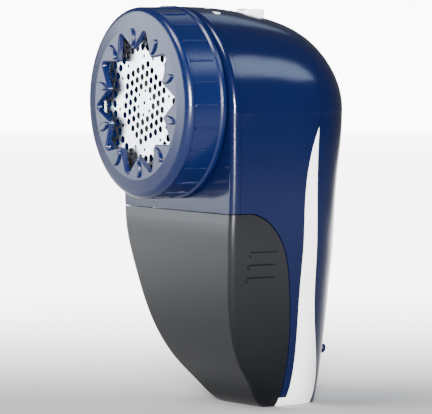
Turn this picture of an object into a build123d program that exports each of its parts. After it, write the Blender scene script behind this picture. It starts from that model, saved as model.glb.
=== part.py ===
from build123d import *
from math import cos, radians, sin, sqrt
import os

# Cordless fabric shaver. Millimetres, +Z up, -Y is the shaving head, +X is the right side.
# The driving dimensions below use the bezel's front face as Y = 0. The finished pieces are moved
# so that the origin is the centre of the base.

# overall body
half_width = 34.7
arch_z = 99.8
arch_drop = 4.2
shoulder_y = 33.0
rear_depth = 24.5
low_rear_depth = 20.6
base_half_width = 12.5
wall = 2.0
seam_gap = 0.12
move_gap = 0.3
front_round = 2.0

# front belly and base, seen from the side
tray_seam_z = 66.3
toe_y = 26.5
heel_y = shoulder_y + 14.5
heel_radius = 6.0

# seams, seen from the side
bezel_depth = 3.2
tray_flat_y = 8.0
tray_rear_y = 31.0
trim_tip_y = shoulder_y + 1.3
trim_tip_z = arch_z - 5.2
trim_base_z = 3.0
cover_lean = 4.4

# head
head_z = arch_z + 2.7
neck_radius = 28.0
neck_wall = 2.0
neck_front_y = -10.0
lug_height = 0.7
cap_wall = 3.1
cap_face_thickness = 1.8
cap_face_y = -16.1
cap_rear_y = -0.5
bead_height = 0.5
tab_height = 0.05
rib_count = 26
rib_width = 0.8
rib_height = 0.4
star_round = 0.6
star_points = 10
star_turn = 4.8
bump_length = 6.0
bump_width = 2.7
bump_height = 0.8
foil_thickness = 0.3
foil_hole = 2.1
foil_pitch = 3.15

# cutter and motor
blade_count = 3
blade_thickness = 0.4
hub_radius = 5.0
shaft_radius = 1.0
run_gap = 0.05
chamber_depth = 11.5
chamber_wall = 2.0
motor_radius = 12.2
motor_length = 30.0
motor_wall = 1.0
bearing_radius = 3.0

# lint way
chute_half_width = 12.5
chute_front_y = 3.5
chute_wall = 1.2
tray_wall = 1.8
tray_mouth_drop = 12.3
grip_count = 3
grip_pitch = 4.3
grip_height = 0.7

# power
cell_radius = 7.25
cell_length = 49.5
cell_z = 27.0
holder_wall = 1.2
hinge_half = 5.0
hinge_pin_radius = 0.8
hinge_wall = 0.7
hinge_sink = 0.8
lug_wall = 1.0
lug_length = 3.0
latch_half_width = 6.0

# switch
knob_y = 29.2
knob_length = 8.2
knob_width = 6.4
knob_height = 2.6
knob_travel = 4.0

# sizes that follow from the ones above
belly_top_z = tray_seam_z - 3.3
low_rear_z = tray_seam_z - 0.3
neck_bore = neck_radius - neck_wall
cap_bore = neck_radius + 0.5
cap_radius = cap_bore + cap_wall
bead_radius = cap_radius + bead_height
rim_radius = cap_radius + 0.3
cap_inner_y = cap_face_y + cap_face_thickness
foil_radius = neck_radius - 2.5
ring_outer = neck_radius - 0.2
ring_lip = foil_radius - 0.6
star_outer = foil_radius - 0.7
star_inner = star_outer * 0.726
foil_front_y = cap_inner_y + 1.7
blade_front_y = foil_front_y + foil_thickness + move_gap
blade_reach = foil_radius - 1.9
chamber_back_y = chamber_depth
chute_back_y = chamber_back_y - 0.3
grip_top_z = tray_seam_z - 13.6
tray_mouth_z = tray_seam_z - tray_mouth_drop
screw_seat_y = shoulder_y + 9.0
cell_x = cell_radius + 0.35
cell_y = shoulder_y + 7.5
door_half_width = cell_x + cell_radius + 0.65
door_low_z = cell_z - 7.0
door_high_z = cell_z + cell_length + 7.5
hinge_barrel = hinge_pin_radius + hinge_wall
hinge_y = shoulder_y + low_rear_depth - hinge_sink
hinge_z = door_low_z - hinge_barrel - 0.1
screw_x = half_width - 12.7
screw_z = head_z - 5.5
slope_angle = 11.5

reach = 160.0


def rear_depth_at(z):
    blend = min(1.0, max(0.0, (z - low_rear_z) / (arch_z - low_rear_z)))
    blend = blend * blend * (3 - 2 * blend)
    return low_rear_depth + (rear_depth - low_rear_depth) * blend


# how the sides draw in below the arch: (share of the arch's height, share of the taper)
side_run = [
    (0.92, 1.0), (0.84, 0.998), (0.75, 0.989), (0.66, 0.969), (0.52, 0.883),
    (0.38, 0.719), (0.24, 0.539), (0.12, 0.336), (0.05, 0.18), (0.0, 0.0),
]


def half_width_at(z):
    level = z / arch_z
    for (upper, more), (lower, less) in zip(side_run, side_run[1:]):
        if lower <= level <= upper:
            share = less + (more - less) * (level - lower) / (upper - lower)
    return base_half_width + (half_width - base_half_width) * share


def side_prism(face):
    return extrude(Plane.YZ * face, amount=reach / 2, both=True)


def draw_body(inset):
    half = half_width - inset
    angles = (18, 34, 49, 62, 73, 82)
    depth = rear_depth - inset
    rings = []
    for y in [inset, shoulder_y / 3, shoulder_y * 2 / 3, shoulder_y]:
        rings.append((y, half, half - arch_drop * (y / shoulder_y) ** 2))
    for angle in angles:
        y = shoulder_y + depth * sin(radians(angle))
        rise = half - arch_drop * (y / shoulder_y) ** 2
        rings.append((y, half * cos(radians(angle)), rise * (1 - sin(radians(angle)) ** 2.6) ** 0.5))
    sections = [
        Plane((0, y, arch_z), x_dir=(1, 0, 0), z_dir=(0, 1, 0)) * Ellipse(wide, high)
        for y, wide, high in rings
    ]
    dome = loft([s.face() for s in sections] + [Vertex(0, shoulder_y + depth, arch_z)])
    dome = split(dome, Plane((0, 0, arch_z)), keep=Keep.TOP)
    layers = [dome.faces().sort_by(Axis.Z)[0]]
    for z in [arch_z * level for level, _ in side_run[:-1]] + [max(0.0, inset)]:
        wide = half_width_at(z) - inset
        deep = rear_depth_at(z) - inset
        side = [(wide, y) for y in (inset, shoulder_y / 3, shoulder_y * 2 / 3, shoulder_y)]
        side += [(wide * cos(radians(a)), shoulder_y + deep * sin(radians(a))) for a in angles]
        side += [(0, shoulder_y + deep)]
        other = [(-x, y) for x, y in reversed(side)]
        outline = Line((-wide, inset), (wide, inset)) + Spline(*side) + Spline(*other)
        layers.append(Pos(0, 0, z) * make_face(outline).face())
    lower = loft(layers)
    whole = dome + lower
    belly = Polyline((inset, reach), (inset, belly_top_z))
    belly_low = max(0.0, inset)
    belly_run = [
        (toe_y * along + inset, belly_low + (belly_top_z - belly_low) * height)
        for along, height in (
            (0, 1), (0.045, 0.797), (0.135, 0.571), (0.25, 0.404), (0.48, 0.225), (0.72, 0.105), (1, 0),
        )
    ]
    belly += Spline(*belly_run, tangents=[(0, -1), (1, -0.3)])
    belly += Line((toe_y + inset, belly_low), (heel_y, belly_low))
    back = shoulder_y + low_rear_depth - inset
    belly += ThreePointArc(
        (heel_y, belly_low),
        (heel_y + (back - heel_y) * 0.71, belly_low + heel_radius * 0.29),
        (back, belly_low + heel_radius),
    )
    belly += Line((back, belly_low + heel_radius), (reach, belly_low + heel_radius))
    belly += Polyline((reach, belly_low + heel_radius), (reach, reach), (inset, reach))
    return whole & side_prism(make_face(belly))


drawn = {}


def body(inset):
    """The whole outside shape, drawn in by a wall thickness."""
    if inset not in drawn:
        drawn[inset] = draw_body(inset)
    return drawn[inset]


# seam outlines in the side view, as (y, z)
tray_run = tray_rear_y - tray_flat_y
tray_edge = [
    (tray_flat_y + tray_run * along, tray_seam_z * height)
    for along, height in (
        (0, 1), (0.13, 0.986), (0.287, 0.955), (0.426, 0.908), (0.565, 0.836), (0.674, 0.745),
        (0.761, 0.633), (0.852, 0.475), (0.922, 0.324), (0.974, 0.166), (1, 0),
    )
]
tray_face = make_face(
    Line((-10, tray_seam_z), (tray_flat_y, tray_seam_z))
    + Spline(*tray_edge)
    + Polyline((tray_rear_y, 0), (tray_rear_y, -10), (-10, -10), (-10, tray_seam_z))
)
bezel_face = Pos(bezel_depth / 2 - 5, tray_seam_z + reach / 2) * Rectangle(10 + bezel_depth, reach)
trim_front = [(trim_tip_y, trim_tip_z)] + [
    (shoulder_y + across, trim_tip_z * height)
    for across, height in (
        (-2.4, 0.888), (-4.0, 0.777), (-4.0, 0.634), (-2.8, 0.423), (-1.1, 0.264), (0.3, 0.153), (1.0, 0.069),
    )
]
trim_rear = [(heel_y, 1.0)] + [
    (shoulder_y + across, trim_tip_z * height)
    for across, height in (
        (13.2, 0.106), (10.5, 0.18), (6.5, 0.285), (3.4, 0.433), (1.7, 0.581), (0.8, 0.719), (0.6, 0.846),
    )
]
trim_rear += [(trim_tip_y, trim_tip_z)]
trim_face = make_face(
    Spline(*trim_front)
    + Polyline(trim_front[-1], (trim_front[-1][0], trim_base_z), (tray_rear_y, trim_base_z))
    + Line((tray_rear_y, trim_base_z), (tray_rear_y, -10))
    + Polyline((tray_rear_y, -10), (heel_y, -10), (heel_y, 1))
    + Spline(*trim_rear)
)
rear_face = make_face(
    Spline(*trim_rear)
    + Polyline((trim_tip_y, trim_tip_z), (trim_tip_y + cover_lean, 1.585 * trim_tip_z))
    + Polyline((trim_tip_y + cover_lean, 1.585 * trim_tip_z), (reach, 1.585 * trim_tip_z), (reach, -10))
    + Polyline((reach, -10), (heel_y, -10), (heel_y, 1))
)
whole_face = Pos(reach / 2 - 20, reach / 2 - 20) * Rectangle(reach, reach)

tray_room = Pos(move_gap, move_gap) * tray_face
bezel_cut = bezel_face - tray_room
trim_cut = trim_face - tray_room
rear_cut = Pos(seam_gap, 0) * rear_face
main_cut = whole_face - tray_room - Pos(seam_gap, 0) * bezel_face
main_cut = main_cut - trim_face - Pos(-seam_gap, 0) * trim_face - Pos(-seam_gap / 2, 0) * rear_face

outer = body(0.0)
inner = body(wall)
shell = outer - inner


def along_y(radius, y_low, y_high):
    return Pos(0, (y_low + y_high) / 2, 0) * Rot(90, 0, 0) * Cylinder(radius, y_high - y_low)


def around_head(radius, y_low, y_high):
    return Pos(0, 0, head_z) * along_y(radius, y_low, y_high)


def block(x_low, x_high, y_low, y_high, z_low, z_high):
    centre = Pos((x_low + x_high) / 2, (y_low + y_high) / 2, (z_low + z_high) / 2)
    return centre * Box(x_high - x_low, y_high - y_low, z_high - z_low)


def along_x(radius, x_low, x_high, y, z):
    return Pos((x_low + x_high) / 2, y, z) * Rot(0, 90, 0) * Cylinder(radius, x_high - x_low)


# front bezel: the part of the shell around the head, with its front edge rounded
neck_hole = around_head(neck_radius + seam_gap, -20, 20)
bezel = outer & side_prism(bezel_cut)
front_edges = bezel.edges().filter_by_position(Axis.Y, -0.01, 0.01).filter_by(
    lambda e: e.bounding_box().max.Z > tray_seam_z + 2 * move_gap
)
bezel = fillet(front_edges, front_round)
bezel = bezel - (inner & block(-reach, reach, wall, shoulder_y, 0, reach)) - neck_hole

# lint tray: a deep cup, open at the top and behind its upper edge
tray_solid = outer & side_prism(tray_face)
tray_edges = tray_solid.edges().filter_by_position(Axis.Z, -1, tray_seam_z - 0.5).filter_by(
    lambda e: e.length > 40 and abs((e @ 0.3).X) > 12 and (e @ 0.5).Y < 6
)
tray_solid = fillet(tray_edges, front_round)
tray_hollow = (Pos(-tray_wall, 0) * tray_face) + Pos(20, tray_mouth_z + reach / 4) * Rectangle(60, reach / 2)
tray_hollow = side_prism(tray_hollow)
lint_tray = tray_solid - (body(tray_wall) & tray_hollow)
grip_skin = body(-grip_height) & side_prism(tray_face)
for i in range(grip_count):
    z = grip_top_z - i * grip_pitch
    ridge = Pos(0, 14, z) * Box(100, 11.5, 1.6)
    ridge = fillet(ridge.edges().filter_by(Axis.X), 0.7)
    lint_tray += (grip_skin & ridge) - body(1.0)

# main housing: the shell around the motor, and the wall behind the tray
back_of_tray = Pos(move_gap + 1.5, move_gap + 1.5) * tray_face - tray_room - bezel_cut
back_of_tray = back_of_tray & main_cut
main_housing = shell & side_prism(main_cut)
main_housing += body(wall / 2) & side_prism(back_of_tray)
main_housing -= block(
    -chute_half_width + chute_wall, chute_half_width - chute_wall,
    chute_front_y + chute_wall, chute_back_y - chute_wall, tray_seam_z - 6, tray_seam_z + 6,
)
main_housing -= neck_hole

# the switch sits in a shallow flat on the crown, following its slope
crown_z = arch_z + half_width - arch_drop * ((knob_y - knob_travel / 2) / shoulder_y) ** 2
crown = Pos(0, knob_y - knob_travel / 2, crown_z) * Rot(-slope_angle, 0, 0)
pocket_width = knob_width + 2 * move_gap
pocket_length = knob_length + knob_travel + 2 * move_gap
pocket = Pos(0, 0, 2.5 - 0.6) * Box(pocket_width, pocket_length, 5.0)
slot = Box(3.2 + 2 * move_gap, 3.0 + knob_travel + 2 * move_gap, 14)
main_housing -= crown * pocket
main_housing -= crown * slot
knob_at = crown * Pos(0, knob_travel / 2, 0)
knob_shape = make_face(
    Polyline(
        (-knob_length / 2, -0.3), (knob_length / 2, -0.3), (knob_length / 2, knob_height * 0.9),
        (knob_length / 2 - 1.6, knob_height), (-knob_length / 2 + 1.2, knob_height * 0.62),
        (-knob_length / 2, knob_height * 0.3), (-knob_length / 2, -0.3),
    )
)
switch_knob = extrude(Plane.YZ * knob_shape, amount=knob_width / 2, both=True)
switch_knob = fillet(switch_knob.edges().filter_by(Axis.Z), 1.4)
switch_knob = fillet(switch_knob.edges().sort_by(Axis.Z)[-6:], 0.45)
switch_knob += Pos(0, 0, -2.9) * Box(3.2, 3.0, 5.4)
switch_knob = knob_at * switch_knob
switch_body = Box(9, 15, 6) - Pos(0, 0, 1.8) * Box(3.8, 3 + knob_travel + 2 * move_gap, 4.4)
switch_body = crown * Pos(0, 0, -2.75 - 3) * switch_body
switch_room = crown * Pos(0, 0, -5.0) * Box(9.2, 15.2, 4.6)
main_housing -= switch_room

# white trim: the two side wedges and the base, one moulding
side_trim = outer & side_prism(trim_cut)
side_trim -= body(wall) & block(-reach, reach, -reach, reach, trim_base_z, reach)

# rear cover with a doorway and two screw bosses
rear_cover = shell & side_prism(rear_cut)


def doorway(margin):
    wide = 2 * (door_half_width + margin)
    high = door_high_z - door_low_z + 2 * margin
    corner = max(0.5, 3.0 + margin)
    face = Pos(0, (door_low_z + door_high_z) / 2) * RectangleRounded(wide, high, corner)
    return extrude(Plane.XZ * face, amount=-reach / 2).moved(Pos(0, cell_y + 1.5, 0))


battery_door = (shell & side_prism(rear_cut)) & doorway(0.0)
rear_cover -= doorway(move_gap)
hinge_axis_room = along_x(hinge_barrel + move_gap, -hinge_half - move_gap, hinge_half + move_gap,
                          hinge_y, hinge_z)
hinge_room = block(-hinge_half - move_gap, hinge_half + move_gap, hinge_y - hinge_barrel - move_gap,
                   reach, hinge_z, door_low_z + 4)
rear_cover = rear_cover - hinge_axis_room - hinge_room
lug_radius = hinge_pin_radius + lug_wall
for side in (-1, 1):
    low = min(side * (hinge_half + move_gap), side * (hinge_half + move_gap + lug_length))
    lug = along_x(lug_radius, low, low + lug_length, hinge_y, hinge_z)
    lug += block(low, low + lug_length, hinge_y - 3.0, hinge_y, hinge_z - 4, hinge_z) & outer
    rear_cover += lug - doorway(move_gap)
hinge_pin = along_x(hinge_pin_radius, -hinge_half - 3, hinge_half + 3, hinge_y, hinge_z)
rear_cover -= along_x(hinge_pin_radius, -hinge_half - 4, hinge_half + 4, hinge_y, hinge_z)
barrel = along_x(hinge_barrel, -hinge_half, hinge_half, hinge_y, hinge_z)
arm = block(-hinge_half, hinge_half, hinge_y - hinge_barrel, hinge_y + 0.4, hinge_z, door_low_z + 3)
lug_end = hinge_half + lug_length + 2 * move_gap
battery_door -= along_x(lug_radius + move_gap, -lug_end, lug_end, hinge_y, hinge_z)
battery_door += barrel + arm
battery_door -= along_x(hinge_pin_radius + run_gap, -20, 20, hinge_y, hinge_z)
latch_z = door_high_z - 7
latch_block = block(-latch_half_width, latch_half_width, cell_y, reach, latch_z - 3.5, latch_z + 3.5)
latch_gap = Pos(0, 0, latch_z) * Box(2 * latch_half_width + 0.16, reach, 7.16)
door_latch = (outer & latch_block) - body(1.0)
battery_door -= (latch_gap & block(-50, 50, cell_y, reach, 0, reach)) - body(1.1)
latch_back = door_latch.bounding_box().max.Y
for i in range(3):
    low = latch_z - 2.5 + 2 * i
    door_latch -= block(-reach, reach, latch_back - 0.6, reach, low, low + 1.0)

boss_y = shoulder_y + 3.5
screws = []
for side in (-1, 1):
    at = Pos(side * screw_x, 0, screw_z)
    rear_cover += (at * along_y(3.6, boss_y, reach)) & body(wall / 2)
    rear_cover -= at * along_y(1.6, boss_y - 5, reach)
    rear_cover -= at * along_y(3.0, screw_seat_y, reach)
    head = along_y(2.7, screw_seat_y, screw_seat_y + 2.0)
    head -= Pos(0, screw_seat_y + 2.0, 0) * (Box(0.8, 1.6, 3.6) + Box(3.6, 1.6, 0.8))
    screws.append(at * (head + along_y(1.3, screw_seat_y - 16.1, screw_seat_y + 0.1)))

# inner frame: a plate across the housing that carries the motor and the screw bosses
frame_y = chamber_back_y + 0.1
frame_plate = body(wall + 0.05) & block(-reach, reach, frame_y, frame_y + 2, tray_seam_z + 4.2, reach)
inner_frame = frame_plate - around_head(motor_radius + 0.05, 0, reach)
for side in (-1, 1):
    at = Pos(side * screw_x, 0, screw_z)
    inner_frame += at * along_y(3.4, frame_y, boss_y)
    inner_frame -= at * along_y(1.3, screw_seat_y - 16.5, boss_y + 6)
inner_frame -= crown * Pos(0, 0, -5.0) * Box(10, 16, 9)

# cutter chamber: the neck that carries the foil, and the cup behind it
chamber = around_head(neck_radius, neck_front_y, chamber_back_y)
chamber += around_head(neck_radius + 1.6, wall + 0.05, bezel_depth - 0.15)
chamber -= around_head(neck_bore, neck_front_y - 1, chamber_back_y - chamber_wall)
chamber -= around_head(bearing_radius + run_gap, 0, reach)
outlet_x = chute_half_width - chute_wall
outlet_top_z = head_z - neck_bore + 13.0
outlet = block(-outlet_x, outlet_x, chute_front_y + chute_wall, chamber_back_y - chamber_wall - 0.1,
               tray_seam_z - 6, outlet_top_z)
chamber -= outlet
lug_ring = around_head(neck_radius + lug_height, -6.0, -4.6) - around_head(neck_radius - 0.5, -7, -4)
for i in range(3):
    wedge = Pos(0, -5.3, head_z) * Rot(0, 30 + 120 * i, 0) * Pos(neck_radius, 0, 0) * Box(6, 3, 11)
    chamber += lug_ring & wedge
motor_screw_x = motor_radius - 4.2
motor_screws = []
for side in (-1, 1):
    at = Pos(side * motor_screw_x, 0, head_z)
    chamber -= at * along_y(1.05, chamber_back_y - chamber_wall - 1, chamber_back_y + 1)
    head = along_y(1.8, chamber_back_y - chamber_wall - 1.4, chamber_back_y - chamber_wall)
    shank = along_y(1.0, chamber_back_y - chamber_wall - 0.1, chamber_back_y + 1.0)
    motor_screws.append(at * (head + shank))

chute_top_z = head_z - neck_bore + 5.5
chute = block(-chute_half_width, chute_half_width, chute_front_y, chute_back_y, tray_seam_z + 1.85,
              chute_top_z)
chute -= around_head(neck_radius + 0.1, -20, 20)
chute -= block(-outlet_x, outlet_x, chute_front_y + chute_wall, chute_back_y - chute_wall,
               tray_seam_z - 6, outlet_top_z)

# foil ring and foil screen
foil_ring = around_head(ring_outer, foil_front_y - 0.4, neck_front_y - 0.02)
foil_ring -= around_head(ring_lip, -20, 0)
foil_ring -= around_head(foil_radius + 0.05, foil_front_y, foil_front_y + foil_thickness)
with BuildSketch(Plane((0, foil_front_y, head_z), x_dir=(1, 0, 0), z_dir=(0, 1, 0))) as foil_sketch:
    Circle(foil_radius)
    Circle(0.7, mode=Mode.SUBTRACT)
    with PolarLocations(4.0, 6):
        Circle(0.7, mode=Mode.SUBTRACT)
    grid = []
    for row in range(-5, 6):
        for column in range(-6, 7):
            x = (column + (row % 2) / 2) * foil_pitch
            z = row * foil_pitch * sqrt(3) / 2
            if 5.2 < sqrt(x * x + z * z) < foil_radius - 11.3:
                grid.append((x, z))
    with Locations(*grid):
        Circle(foil_hole / 2, mode=Mode.SUBTRACT)
    with PolarLocations(foil_radius - 9.6, 12, start_angle=15):
        Circle(0.7, mode=Mode.SUBTRACT)
    with PolarLocations(foil_radius - 7.1, 32):
        Circle(1.25, mode=Mode.SUBTRACT)
    with PolarLocations(foil_radius - 3.6, 36):
        Circle(1.3, mode=Mode.SUBTRACT)
foil_screen = extrude(foil_sketch.sketch, amount=foil_thickness)

# guard cap: ribbed sleeve, star opening and raised bumps on its teeth
cap_outline = Polyline(
    (cap_bore, cap_rear_y), (bead_radius - 0.4, cap_rear_y), (bead_radius, cap_rear_y - 0.4),
    (bead_radius, cap_rear_y - 1.5), (cap_radius, cap_rear_y - 2.1), (cap_radius, -12.4),
    (rim_radius, -12.8), (rim_radius, -13.4),
)
cap_outline += ThreePointArc((rim_radius, -13.4), (rim_radius - 0.7, -14.85), (rim_radius - 2.3, -15.6))
cap_outline += Polyline((rim_radius - 2.3, -15.6), (star_outer + 0.8, cap_face_y), (0, cap_face_y))
cap_outline += Polyline((0, cap_face_y), (0, cap_inner_y), (cap_bore, cap_inner_y), (cap_bore, cap_rear_y))
guard_cap = revolve(make_face(cap_outline), Axis.Y).moved(Pos(0, 0, head_z))
star = []
for i in range(2 * star_points):
    radius = star_outer + 0.5 if i % 2 == 0 else star_inner - 0.4
    angle = radians(star_turn + i * 180 / star_points)
    star.append((radius * cos(angle), radius * sin(angle)))
star_face = make_face(Polyline(*star, close=True))
tips = star_face.vertices().filter_by(lambda v: sqrt(v.X ** 2 + v.Y ** 2) > star_inner + 2)
star_face = fillet(tips, 1.2)
teeth = star_face.vertices().filter_by(lambda v: sqrt(v.X ** 2 + v.Y ** 2) < star_inner)
star_face = fillet(teeth, 0.9)
front_plane = Plane((0, cap_inner_y + 2, head_z), x_dir=(1, 0, 0), z_dir=(0, -1, 0))
guard_cap -= extrude(front_plane * star_face, amount=10)
star_rim = guard_cap.edges().filter_by_position(Axis.Y, cap_face_y - 0.01, cap_face_y + 0.01).filter_by(
    lambda e: max(sqrt(v.X ** 2 + (v.Z - head_z) ** 2) for v in e.vertices()) < star_outer + 0.4
)
guard_cap = fillet(star_rim, star_round)
for i in range(rib_count):
    rib = Pos(cap_radius, -7.8, 0) * Box(2 * rib_height, 8.8, rib_width)
    rib = fillet(rib.edges().filter_by(Axis.Y).sort_by(Axis.X)[-2:], 0.3)
    guard_cap += Pos(0, 0, head_z) * Rot(0, i * 360 / rib_count, 0) * rib
bump = Rot(90, 0, 0) * extrude(Ellipse(bump_length / 2, bump_width / 2), amount=bump_height + 0.2)
bump = fillet(bump.edges().sort_by(Axis.Y)[0], 0.45)
for i in range(star_points):
    turn = -(star_turn + (i + 0.5) * 360 / star_points)
    place = Pos(0, cap_face_y + 0.2, head_z) * Rot(0, turn, 0) * Pos(star_inner + 3.9, 0, 0)
    guard_cap += place * bump
guard_cap += (block(-1.6, 1.6, -5.4, cap_rear_y - 0.1, head_z + 30, head_z + bead_radius + tab_height)
              - around_head(cap_bore + 1, -20, 10))
groove = around_head(neck_radius + lug_height + 0.6, -6.4, -4.2) - around_head(cap_bore - 1, -7, -4)
guard_cap -= groove
for i in range(3):
    entry = Pos(0, -2.4, head_z) * Rot(0, 75 + 120 * i, 0) * Pos(neck_radius + 0.6, 0, 0) * Box(1.4, 4.4, 12)
    guard_cap -= entry

# cutter: blades on a hub on the motor's shaft
blade_hub = around_head(hub_radius, blade_front_y + blade_thickness, -4.0)
for i in range(blade_count):
    arm = block(0, blade_reach - 3, blade_front_y + blade_thickness, blade_front_y + 2.4, -2.2, 2.2)
    blade_hub += Pos(0, 0, head_z) * Rot(0, i * 360 / blade_count, 0) * arm
blades = around_head(hub_radius - 0.8, blade_front_y, blade_front_y + blade_thickness)
for i in range(blade_count):
    strip = block(0, blade_reach, blade_front_y, blade_front_y + blade_thickness, -2.0, 2.0)
    blades += Pos(0, 0, head_z) * Rot(0, i * 360 / blade_count, 0) * strip
shaft_front_y = -10.5
motor_y = chamber_back_y + 0.05
motor_end_y = motor_y + motor_length
motor_shaft = around_head(shaft_radius, shaft_front_y, motor_end_y + 3.0)
blade_hub -= around_head(shaft_radius, shaft_front_y, reach)

# motor
motor_can = around_head(motor_radius, motor_y, motor_end_y)
motor_can -= around_head(motor_radius - motor_wall, motor_y + motor_wall, motor_end_y + 1)
motor_can -= around_head(bearing_radius, 0, motor_y + 5)
for side in (-1, 1):
    motor_can -= Pos(side * motor_screw_x, 0, head_z) * along_y(1.0, motor_y - 1, motor_y + 2)
front_bearing = around_head(bearing_radius, motor_y - 1.0, motor_y + 2.2)
front_bearing -= around_head(shaft_radius + run_gap, 0, reach)
magnet_ring = around_head(motor_radius - motor_wall, motor_y + 5, motor_end_y - 5)
magnet_ring -= around_head(motor_radius - motor_wall - 1.4, 0, reach)
armature_radius = motor_radius - motor_wall - 1.4 - 0.4
armature = around_head(armature_radius, motor_y + 6, motor_end_y - 7)
for i in range(5):
    slot_cut = block(armature_radius - 2.6, reach, 0, reach, -0.8, 0.8)
    armature -= Pos(0, 0, head_z) * Rot(0, i * 72, 0) * slot_cut
armature += around_head(3.2, motor_y + 4, motor_end_y - 2.5)
armature -= around_head(shaft_radius, 0, reach)
end_cap = around_head(motor_radius, motor_end_y + 0.02, motor_end_y + 2.0)
end_cap += around_head(4.5, motor_end_y - 1.5, motor_end_y + 4.0)
end_cap -= around_head(bearing_radius, 0, reach)
rear_bearing = around_head(bearing_radius, motor_end_y - 1.5, motor_end_y + 2.4)
rear_bearing -= around_head(shaft_radius + run_gap, 0, reach)

# battery holder, cells and contacts
holder_low = cell_z - 5.0
holder_high = cell_z + cell_length + 4.6
holder_x = cell_x + cell_radius + 0.4
holder_y = cell_y - cell_radius - 0.4
holder = block(-holder_x - holder_wall, holder_x + holder_wall, holder_y - holder_wall, cell_y + 6,
               holder_low - holder_wall, holder_high + holder_wall)
holder -= block(-holder_x, holder_x, holder_y, reach, holder_low, holder_high)
holder += block(-0.3, 0.3, holder_y - 0.5, cell_y - 5.1, holder_low - 0.5, holder_high + 0.5)
holder = holder & body(wall + 0.8)
foot_low = trim_base_z - 0.8
holder += block(-6, 6, cell_y - 3.5, cell_y + 3.5, foot_low, holder_low - 0.5)
side_trim -= block(-6.1, 6.1, cell_y - 3.6, cell_y + 3.6, foot_low, foot_low + 5)
holder -= outer & side_prism(back_of_tray)
battery_cells = []
for side in (-1, 1):
    cell = Cylinder(cell_radius, cell_length - 1.2)
    cell = fillet(cell.edges().filter_by(GeomType.CIRCLE), 0.8)
    cell += Pos(0, 0, side * (cell_length / 2)) * Cylinder(2.75, 1.2)
    battery_cells.append(Pos(side * cell_x, cell_y, cell_z + cell_length / 2) * cell)
spring_wire = 0.35
springs = []
for side in (-1, 1):
    coil = Helix(pitch=1.25, height=3.6, radius=2.6)
    wire = sweep(Plane(coil @ 0, z_dir=coil % 0) * Circle(spring_wire), path=coil)
    foot = holder_low + 0.4 + spring_wire if side > 0 else holder_high - 0.4 - spring_wire - 3.6
    springs.append(Pos(side * cell_x, cell_y, foot) * wire)
low_contact = block(-holder_x + 0.5, holder_x - 0.5, cell_y - 5, cell_y + 5, holder_low, holder_low + 0.35)
high_contact = block(-holder_x + 0.5, holder_x - 0.5, cell_y - 5, cell_y + 5, holder_high - 0.35, holder_high)
low_contact += Pos(-cell_x, cell_y, holder_low + 2.2) * Cylinder(2.4, 4.2)
high_contact += Pos(cell_x, cell_y, holder_high - 2.0) * Cylinder(2.4, 3.8)

# printed marks on the crown: a pointer and a closed padlock
pointer = Pos(4.6, 9.0) * make_face(Polyline((-0.9, 0.8), (0.9, 0.8), (0, -0.8), close=True))
lock_mark = Pos(11.2, 8.4) * (Rectangle(1.9, 1.4) + Pos(0, 1.0) * (Circle(0.75) - Circle(0.45)))
print_skin = body(-0.08) - body(0.0)
index_marks = print_skin & extrude(Pos(0, 0, 115) * (pointer + lock_mark), amount=30)

pieces = {
    "front_bezel": bezel,
    "main_housing": main_housing,
    "side_trim": side_trim,
    "rear_cover": rear_cover,
    "battery_door": battery_door,
    "door_latch": door_latch,
    "door_hinge_pin": hinge_pin,
    "lint_tray": lint_tray,
    "lint_chute": chute,
    "cutter_chamber": chamber,
    "foil_ring": foil_ring,
    "foil_screen": foil_screen,
    "guard_cap": guard_cap,
    "blades": blades,
    "blade_hub": blade_hub,
    "motor_shaft": motor_shaft,
    "armature": armature,
    "motor_can": motor_can,
    "magnet_ring": magnet_ring,
    "motor_end_cap": end_cap,
    "front_bearing": front_bearing,
    "rear_bearing": rear_bearing,
    "motor_screw_left": motor_screws[0],
    "motor_screw_right": motor_screws[1],
    "inner_frame": inner_frame,
    "case_screw_left": screws[0],
    "case_screw_right": screws[1],
    "switch_knob": switch_knob,
    "switch_body": switch_body,
    "battery_holder": holder,
    "battery_cell_left": battery_cells[0],
    "battery_cell_right": battery_cells[1],
    "battery_spring_left": springs[0],
    "battery_spring_right": springs[1],
    "low_contact": low_contact,
    "high_contact": high_contact,
    "index_marks": index_marks,
}

everything = Compound(children=[Compound(p.wrapped) if hasattr(p, "wrapped") else p for p in pieces.values()])
box = everything.bounding_box()
to_origin = Pos(-(box.min.X + box.max.X) / 2, -(box.min.Y + box.max.Y) / 2, -box.min.Z)

os.makedirs("parts", exist_ok=True)
for name, piece in pieces.items():
    export_step(to_origin * piece, "parts/" + name + ".step")
print("origin shift", to_origin.position)
print("size", box.size)
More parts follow.
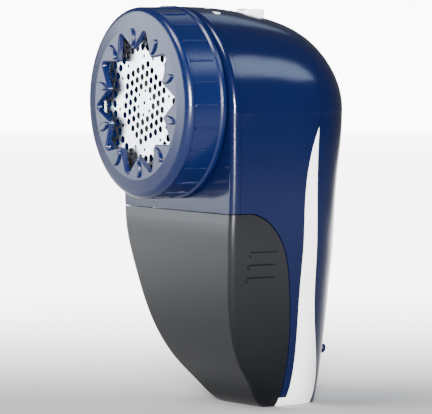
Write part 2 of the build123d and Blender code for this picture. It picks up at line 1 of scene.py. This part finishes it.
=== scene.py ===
import bpy
import math
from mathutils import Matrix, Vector


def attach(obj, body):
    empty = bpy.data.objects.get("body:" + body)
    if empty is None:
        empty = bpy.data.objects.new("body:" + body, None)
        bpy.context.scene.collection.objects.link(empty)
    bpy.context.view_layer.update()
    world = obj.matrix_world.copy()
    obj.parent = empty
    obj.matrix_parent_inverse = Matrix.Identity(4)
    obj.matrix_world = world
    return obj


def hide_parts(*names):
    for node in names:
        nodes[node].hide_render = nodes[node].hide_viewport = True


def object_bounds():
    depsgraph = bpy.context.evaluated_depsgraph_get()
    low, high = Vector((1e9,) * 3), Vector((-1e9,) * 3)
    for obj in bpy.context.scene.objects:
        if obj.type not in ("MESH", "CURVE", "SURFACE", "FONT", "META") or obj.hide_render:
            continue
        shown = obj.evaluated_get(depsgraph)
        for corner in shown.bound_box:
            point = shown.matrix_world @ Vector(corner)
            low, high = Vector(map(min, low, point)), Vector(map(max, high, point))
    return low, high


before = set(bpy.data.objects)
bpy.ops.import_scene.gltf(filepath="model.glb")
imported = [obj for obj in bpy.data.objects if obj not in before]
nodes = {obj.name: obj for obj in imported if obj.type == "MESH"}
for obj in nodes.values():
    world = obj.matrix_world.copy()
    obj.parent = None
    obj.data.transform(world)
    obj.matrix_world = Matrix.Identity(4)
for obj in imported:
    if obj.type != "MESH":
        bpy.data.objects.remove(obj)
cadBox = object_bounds()
bpy.ops.object.select_all(action="DESELECT")
print("frame loaded,", len(nodes), "nodes")

mm = 0.001

# colours are linear, patch and grain are noise scales, depths and the heights of the painted shade
# ramp are in metres
# painted shade: the specular level ramps with height, from the low level at the start height up to the
# high level at the end height, which dims reflections towards the bottom
looks = {
    "glossNavy": {
        "base": (0.0008, 0.0026, 0.0200), "other": (0.0011, 0.0034, 0.0240), "patch": 38,
        "footReflectionPaintedDim": 0.12, "upperReflectionLevel": 0.5, "paintedShadeStartHeight": 0.004, "paintedShadeEndHeight": 0.085,
        "roughness": 0.17, "roughnessSpread": 0.05, "grain": 2600, "grainDepth": 0.00001, "ior": 1.5},
    "satinNavy": {
        "base": (0.0008, 0.0040, 0.0300), "other": (0.0012, 0.0050, 0.0350), "patch": 60,
        "roughness": 0.25, "roughnessSpread": 0.08, "grain": 3800, "grainDepth": 0.00002, "ior": 1.5},
    "whiteTrim": {
        "base": (0.86, 0.86, 0.86), "other": (0.89, 0.89, 0.885), "patch": 50,
        "coat": 0.3, "coatRoughness": 0.1,
        "roughness": 0.24, "roughnessSpread": 0.06, "grain": 2800, "grainDepth": 0.00001, "ior": 1.5},
    "innerWhite": {
        "base": (0.62, 0.62, 0.60), "other": (0.68, 0.68, 0.66), "patch": 70,
        "roughness": 0.45, "roughnessSpread": 0.1, "grain": 3200, "grainDepth": 0.00003, "ior": 1.48},
    "blackPlastic": {
        "base": (0.012, 0.012, 0.013), "other": (0.018, 0.018, 0.019), "patch": 80,
        "roughness": 0.5, "roughnessSpread": 0.1, "grain": 3000, "grainDepth": 0.00004, "ior": 1.48},
    "smokeTray": {
        "base": (0.0016, 0.0019, 0.0028), "other": (0.0025, 0.0028, 0.0040), "patch": 900,
        "footReflectionPaintedDim": 0.1, "upperReflectionLevel": 0.6, "paintedShadeStartHeight": 0.006, "paintedShadeEndHeight": 0.052,
        "roughness": 0.30, "roughnessSpread": 0.06, "grain": 2600, "grainDepth": 0.00002, "ior": 1.52},
    "printWhite": {
        "base": (0.72, 0.72, 0.72), "other": (0.80, 0.80, 0.80), "patch": 900,
        "roughness": 0.5, "roughnessSpread": 0.1, "grain": 3000, "grainDepth": 0.00002, "ior": 1.45},
}

# stretch draws the streaks out along the axes where it is small
metals = {
    "foilNickel": {
        "base": (0.93, 0.93, 0.92), "other": (0.97, 0.97, 0.96), "patch": 260, "stretch": (1, 1, 1),
        "roughness": 0.28, "roughnessSpread": 0.1, "depth": 0.00001},
    "brightSteel": {
        "base": (0.50, 0.50, 0.51), "other": (0.63, 0.63, 0.64), "patch": 900, "stretch": (1, 18, 1),
        "roughness": 0.28, "roughnessSpread": 0.12, "depth": 0.00003},
    "motorSteel": {
        "base": (0.34, 0.34, 0.35), "other": (0.46, 0.46, 0.46), "patch": 500, "stretch": (14, 1, 14),
        "roughness": 0.36, "roughnessSpread": 0.14, "depth": 0.00003},
    "magnetBlack": {
        "base": (0.035, 0.034, 0.033), "other": (0.06, 0.058, 0.055), "patch": 600,
        "stretch": (1, 1, 1), "roughness": 0.62, "roughnessSpread": 0.12, "depth": 0.00005},
    # painted shade: the blade steel is made near black so the cutter chamber behind the foil's holes
    # reads dark
    "bladeSteelPaintedShade": {
        "base": (0.030, 0.030, 0.032), "other": (0.05, 0.05, 0.053), "patch": 900,
        "stretch": (1, 18, 1), "roughness": 0.5, "roughnessSpread": 0.12, "depth": 0.00003},
    "bushBronze": {
        "base": (0.42, 0.27, 0.11), "other": (0.55, 0.37, 0.17), "patch": 900, "stretch": (1, 1, 1),
        "roughness": 0.4, "roughnessSpread": 0.12, "depth": 0.00003},
}

# which nodes wear which finish
finishNodes = {
    "glossNavy": ("front_bezel", "main_housing", "rear_cover", "battery_door"),
    "satinNavy": ("door_latch", "cutter_chamber", "foil_ring", "guard_cap"),
    "whiteTrim": ("side_trim", "switch_knob"),
    "innerWhite": ("lint_chute", "motor_end_cap", "inner_frame", "battery_holder"),
    "blackPlastic": ("blade_hub", "switch_body", "battery_cell_left", "battery_cell_right"),
    "smokeTray": ("lint_tray",),
    "printWhite": ("index_marks",),
    "foilNickel": ("foil_screen",),
    "brightSteel": ("door_hinge_pin", "motor_shaft", "motor_screw_left", "motor_screw_right",
                    "case_screw_left", "case_screw_right", "battery_spring_left",
                    "battery_spring_right", "low_contact", "high_contact"),
    "motorSteel": ("armature", "motor_can"),
    "magnetBlack": ("magnet_ring",),
    "bladeSteelPaintedShade": ("blades",),
    "bushBronze": ("front_bearing", "rear_bearing"),
}


def startMaterial(name):
    material = bpy.data.materials.new(name)
    material.use_nodes = True
    tree = material.node_tree
    return material, tree, tree.nodes["Principled BSDF"]


def addNode(tree, kind, values=None):
    node = tree.nodes.new(kind)
    for key, value in (values or {}).items():
        node.inputs[key].default_value = value
    return node


def objectPlace(tree, settings):
    place = addNode(tree, "ShaderNodeTexCoord")
    mapping = addNode(tree, "ShaderNodeMapping", settings)
    tree.links.new(place.outputs["Object"], mapping.inputs["Vector"])
    return mapping.outputs["Vector"]


def splitAxes(tree, place):
    axes = addNode(tree, "ShaderNodeSeparateXYZ")
    tree.links.new(place, axes.inputs["Vector"])
    return axes.outputs


def noise(tree, place, scale, detail):
    texture = addNode(tree, "ShaderNodeTexNoise", {"Scale": scale, "Detail": detail})
    tree.links.new(place, texture.inputs["Vector"])
    return texture.outputs[0]


def blendColours(tree, factor, first, second):
    mix = tree.nodes.new("ShaderNodeMix")
    mix.data_type = "RGBA"  # its colour sockets are 6 and 7 in, 2 out
    tree.links.new(factor, mix.inputs[0])
    mix.inputs[6].default_value = (*first, 1)
    mix.inputs[7].default_value = (*second, 1)
    return mix.outputs[2]


def mapRange(tree, value, settings, smooth=False):
    ramp = addNode(tree, "ShaderNodeMapRange", settings)
    if smooth:
        ramp.interpolation_type = "SMOOTHSTEP"
    tree.links.new(value, ramp.inputs["Value"])
    return ramp.outputs["Result"]


def mottle(tree, shader, patches, look):
    colour = blendColours(tree, patches, look["base"], look["other"])
    tree.links.new(colour, shader.inputs["Base Color"])
    spread = look["roughnessSpread"] / 2
    roughness = mapRange(tree, patches, {"To Min": look["roughness"] - spread,
                                         "To Max": look["roughness"] + spread})
    tree.links.new(roughness, shader.inputs["Roughness"])


def addBump(tree, shader, height, distance):
    bump = addNode(tree, "ShaderNodeBump", {"Strength": 1.0, "Distance": distance})
    tree.links.new(height, bump.inputs["Height"])
    tree.links.new(bump.outputs["Normal"], shader.inputs["Normal"])


def mouldedPlastic(name, look):
    material, tree, shader = startMaterial(name)
    place = objectPlace(tree, {"Scale": (1, 1, 1)})
    mottle(tree, shader, noise(tree, place, look["patch"], 3.0), look)
    # painted shade: the specular level is lowered towards the bottom by height, dimming reflections
    # near the foot
    if "footReflectionPaintedDim" in look:
        paintedFootShade = mapRange(tree, splitAxes(tree, place)["Z"], {
            "From Min": look["paintedShadeStartHeight"], "From Max": look["paintedShadeEndHeight"],
            "To Min": look["footReflectionPaintedDim"], "To Max": look["upperReflectionLevel"]})
        tree.links.new(paintedFootShade, shader.inputs["Specular IOR Level"])
    if "coat" in look:
        shader.inputs["Coat Weight"].default_value = look["coat"]
        shader.inputs["Coat Roughness"].default_value = look["coatRoughness"]
    shader.inputs["IOR"].default_value = look["ior"]
    addBump(tree, shader, noise(tree, place, look["grain"], 2.0), look["grainDepth"])
    return material


def workedMetal(name, look):
    material, tree, shader = startMaterial(name)
    streaks = noise(tree, objectPlace(tree, {"Scale": look["stretch"]}), look["patch"], 4.0)
    mottle(tree, shader, streaks, look)
    shader.inputs["Metallic"].default_value = 1.0
    addBump(tree, shader, streaks, look["depth"])
    return material


materials = {name: mouldedPlastic(name, look) for name, look in looks.items()}
materials.update({name: workedMetal(name, look) for name, look in metals.items()})

for finish, names in finishNodes.items():
    for name in names:
        slots = nodes[name].material_slots
        for slot in slots:
            slot.material = materials[finish]
        if not len(slots):
            nodes[name].data.materials.append(materials[finish])
print("materials ready,", len(materials))

# a hexagon of holes, small holes round it, and two rings of holes out in the star's tips
foilLook = {
    "thickness": 0.12 * mm, "sheetSides": 128, "holeSides": 20, "punchDepth": 2 * mm,
    "turn": 20,  # degrees, for all but the outer rings
    "centreHole": 0.7 * mm, "smallHole": 0.62 * mm, "hole": 1.17 * mm, "ringHole": 1.28 * mm,
    "innerCircle": 4.05 * mm, "outerCircle": 15.6 * mm, "pairSpread": 10.5,
    "pitch": 3.28 * mm, "gridInner": 5.0 * mm, "gridOuter": 14.0 * mm,
    "rings": ((18.6 * mm, 36), (22.0 * mm, 40)), "ringTurn": 3,
}


def nodeBox(name):
    corners = [nodes[name].matrix_world @ Vector(corner) for corner in nodes[name].bound_box]
    low = Vector([min(corner[i] for corner in corners) for i in range(3)])
    high = Vector([max(corner[i] for corner in corners) for i in range(3)])
    return low, high


def around(radius, degrees):
    angle = math.radians(degrees)
    return radius * math.cos(angle), radius * math.sin(angle)


def foilHoles(look):
    turn = look["turn"]
    holes = [(0.0, 0.0, look["centreHole"])]
    for corner in range(0, 360, 60):
        holes.append((*around(look["innerCircle"], turn + corner), look["smallHole"]))
        for side in (-look["pairSpread"], look["pairSpread"]):
            holes.append((*around(look["outerCircle"], turn + corner + side), look["smallHole"]))
    steps = math.ceil(look["gridOuter"] / look["pitch"]) + 1
    for row in range(-steps, steps + 1):
        for column in range(-steps, steps + 1):
            x = (column + (row % 2) / 2) * look["pitch"]
            z = row * look["pitch"] * math.sqrt(3) / 2
            reach = math.hypot(x, z)
            if look["gridInner"] < reach < look["gridOuter"]:
                place = around(reach, math.degrees(math.atan2(z, x)) + turn)
                holes.append((*place, look["hole"]))
    for radius, count in look["rings"]:
        for i in range(count):
            holes.append((*around(radius, 360 * i / count + look["ringTurn"]), look["ringHole"]))
    return holes


def addDisc(sides, radius, depth, place):
    bpy.ops.mesh.primitive_cylinder_add(vertices=sides, radius=radius, depth=depth,
                                        location=place, rotation=(math.radians(90), 0, 0))
    return bpy.context.object


def selectOnly(active, others=()):
    bpy.ops.object.select_all(action="DESELECT")
    for thing in (active, *others):
        thing.select_set(True)
    bpy.context.view_layer.objects.active = active


foilLow, foilHigh = nodeBox("foil_screen")
foilRadius = (foilHigh.x - foilLow.x) / 2
foilZ = (foilLow.z + foilHigh.z) / 2
foilY = foilLow.y + foilLook["thickness"] / 2
foilSheet = addDisc(foilLook["sheetSides"], foilRadius, foilLook["thickness"], (0, foilY, foilZ))
foilSheet.name = "foilSheet"
bpy.ops.object.transform_apply(location=True, rotation=True, scale=True)
punches = [addDisc(foilLook["holeSides"], radius, foilLook["punchDepth"], (x, foilY, foilZ + z))
           for x, z, radius in foilHoles(foilLook)]
selectOnly(punches[0], punches[1:])
bpy.ops.object.join()
punchTool = bpy.context.object
selectOnly(foilSheet)
foilCut = foilSheet.modifiers.new("holes", "BOOLEAN")
foilCut.object = punchTool
foilCut.operation = "DIFFERENCE"
foilCut.solver = "EXACT"
bpy.ops.object.modifier_apply(modifier=foilCut.name)
bpy.data.objects.remove(punchTool)
foilSheet.data.materials.clear()
foilSheet.data.materials.append(materials["foilNickel"])
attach(foilSheet, "housing")
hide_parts("foil_screen")
print("foil sheet punched,", len(punches), "holes")

cameraLook = {"azimuth": 57.3, "elevation": 3.3, "distance": 1.6, "across": 0.1451,
              "target": (0.0, -0.0046, 0.06695), "sensor": 36.0, "near": 0.05, "far": 20.0}

# the floor glows only in a strip behind the object, so that its sides don't mirror it
stageLook = {
    "floorSize": 5.4, "floorDrop": 0.0002, "floorColour": (0.40, 0.40, 0.40),
    "floorGlow": 6.5, "stripHalf": 0.22, "stripEdge": 0.55, "glowStart": -0.02, "glowFull": 0.6,
    "backColour": (0.9, 0.9, 0.9), "backDistance": 2.2, "backWide": 0.56, "backHigh": 0.24,
    "backLow": -0.02, "backGlow": 7.0,
    "fibre": 300.0, "fibreShade": 1.03,
    "air": 0.16, "airColour": (0.92, 0.96, 1.0),
}


def paperMaterial(name, colour):
    material, tree, shader = startMaterial(name)
    fibre = noise(tree, objectPlace(tree, {"Scale": (1, 1, 1)}), stageLook["fibre"], 3.0)
    shade = blendColours(tree, fibre, colour, [c * stageLook["fibreShade"] for c in colour])
    tree.links.new(shade, shader.inputs["Base Color"])
    shader.inputs["Roughness"].default_value = 0.9
    shader.inputs["Emission Color"].default_value = (1, 1, 1, 1)
    return material, tree, shader


backTurn = math.radians(cameraLook["azimuth"])  # the stage is square to the camera
bpy.ops.mesh.primitive_plane_add(size=stageLook["floorSize"],
                                 location=(0, 0, cadBox[0].z - stageLook["floorDrop"]))
floor = bpy.context.object
floor.name = "studioFloor"
floorPaper, floorTree, floorShader = paperMaterial("studioPaper", stageLook["floorColour"])
floorAxes = splitAxes(floorTree, objectPlace(floorTree, {"Rotation": (0, 0, -backTurn)}))
floorSide = addNode(floorTree, "ShaderNodeMath")
floorSide.operation = "ABSOLUTE"
floorTree.links.new(floorAxes["X"], floorSide.inputs[0])
acrossFade = mapRange(floorTree, floorSide.outputs[0], {
    "From Min": stageLook["stripEdge"], "From Max": stageLook["stripHalf"]}, smooth=True)
awayFade = mapRange(floorTree, floorAxes["Y"], {
    "From Min": stageLook["glowStart"], "From Max": stageLook["glowFull"],
    "To Max": stageLook["floorGlow"]}, smooth=True)
floorGlow = addNode(floorTree, "ShaderNodeMath")
floorGlow.operation = "MULTIPLY"
floorTree.links.new(acrossFade, floorGlow.inputs[0])
floorTree.links.new(awayFade, floorGlow.inputs[1])
floorTree.links.new(floorGlow.outputs[0], floorShader.inputs["Emission Strength"])
floor.data.materials.append(floorPaper)

bpy.ops.mesh.primitive_plane_add(size=1.0, rotation=(math.radians(90), 0, backTurn), location=(
    -math.sin(backTurn) * stageLook["backDistance"], math.cos(backTurn) * stageLook["backDistance"],
    stageLook["backHigh"] / 2 + stageLook["backLow"]))
backdrop = bpy.context.object
backdrop.name = "studioBackdrop"
backdrop.scale = (stageLook["backWide"], stageLook["backHigh"], 1)
backPaper, backTree, backShader = paperMaterial("backdropPaper", stageLook["backColour"])
backShader.inputs["Emission Strength"].default_value = stageLook["backGlow"]
backdrop.data.materials.append(backPaper)

world = bpy.data.worlds.new("studioAir")
bpy.context.scene.world = world
world.use_nodes = True
background = world.node_tree.nodes["Background"]
background.inputs["Color"].default_value = (*stageLook["airColour"], 1)
background.inputs["Strength"].default_value = stageLook["air"]


def lookFrom(azimuth, elevation):
    a, e = math.radians(azimuth), math.radians(elevation)
    return Vector((math.sin(a) * math.cos(e), -math.cos(a) * math.cos(e), math.sin(e)))


def faceAlong(thing, direction):
    thing.rotation_mode = "QUATERNION"
    thing.rotation_quaternion = direction.to_track_quat("-Z", "Y")


bpy.ops.object.camera_add()
camera = bpy.context.object
camera.name = "studioCamera"
back = lookFrom(cameraLook["azimuth"], cameraLook["elevation"])
camera.location = Vector(cameraLook["target"]) + back * cameraLook["distance"]
faceAlong(camera, -back)
camera.data.sensor_width = cameraLook["sensor"]
camera.data.lens = cameraLook["sensor"] * cameraLook["distance"] / cameraLook["across"]
camera.data.clip_start = cameraLook["near"]
camera.data.clip_end = cameraLook["far"]
bpy.context.scene.camera = camera

lampAim = Vector((0, 0, 0.07))  # the middle of the object
lights = {
    "frontSoftbox": {"direction": (-0.75, -0.65, 0.22), "distance": 0.9, "size": 0.5,
                     "power": 6.2, "colour": (0.84, 0.91, 1.0)},
    "sideStrip": {"direction": (0.52, 0.54, 0.66), "distance": 1.0, "size": 0.3,
                  "power": 1.7, "colour": (0.62, 0.78, 1.0)},
    "backStrip": {"direction": (-0.49, 0.54, 0.68), "distance": 1.0, "size": 0.25,
                  "power": 0.25, "colour": (0.62, 0.78, 1.0)},
    "nearFill": {"direction": (0.83, -0.52, 0.12), "distance": 1.2, "size": 0.2,
                 "power": 66.0, "colour": (1.0, 1.0, 1.0)},
    "topSoftbox": {"direction": (0.1, -0.45, 0.88), "distance": 1.1, "size": 0.45,
                   "power": 12.0, "colour": (1.0, 1.0, 1.0)},
}
for name, look in lights.items():
    direction = Vector(look["direction"]).normalized()
    bpy.ops.object.light_add(type="AREA", location=lampAim + direction * look["distance"])
    lamp = bpy.context.object
    lamp.name = name
    lamp.data.shape = "SQUARE"
    lamp.data.size = look["size"]
    lamp.data.energy = look["power"]
    lamp.data.color = look["colour"]
    faceAlong(lamp, -direction)
print("stage, camera and lights ready")
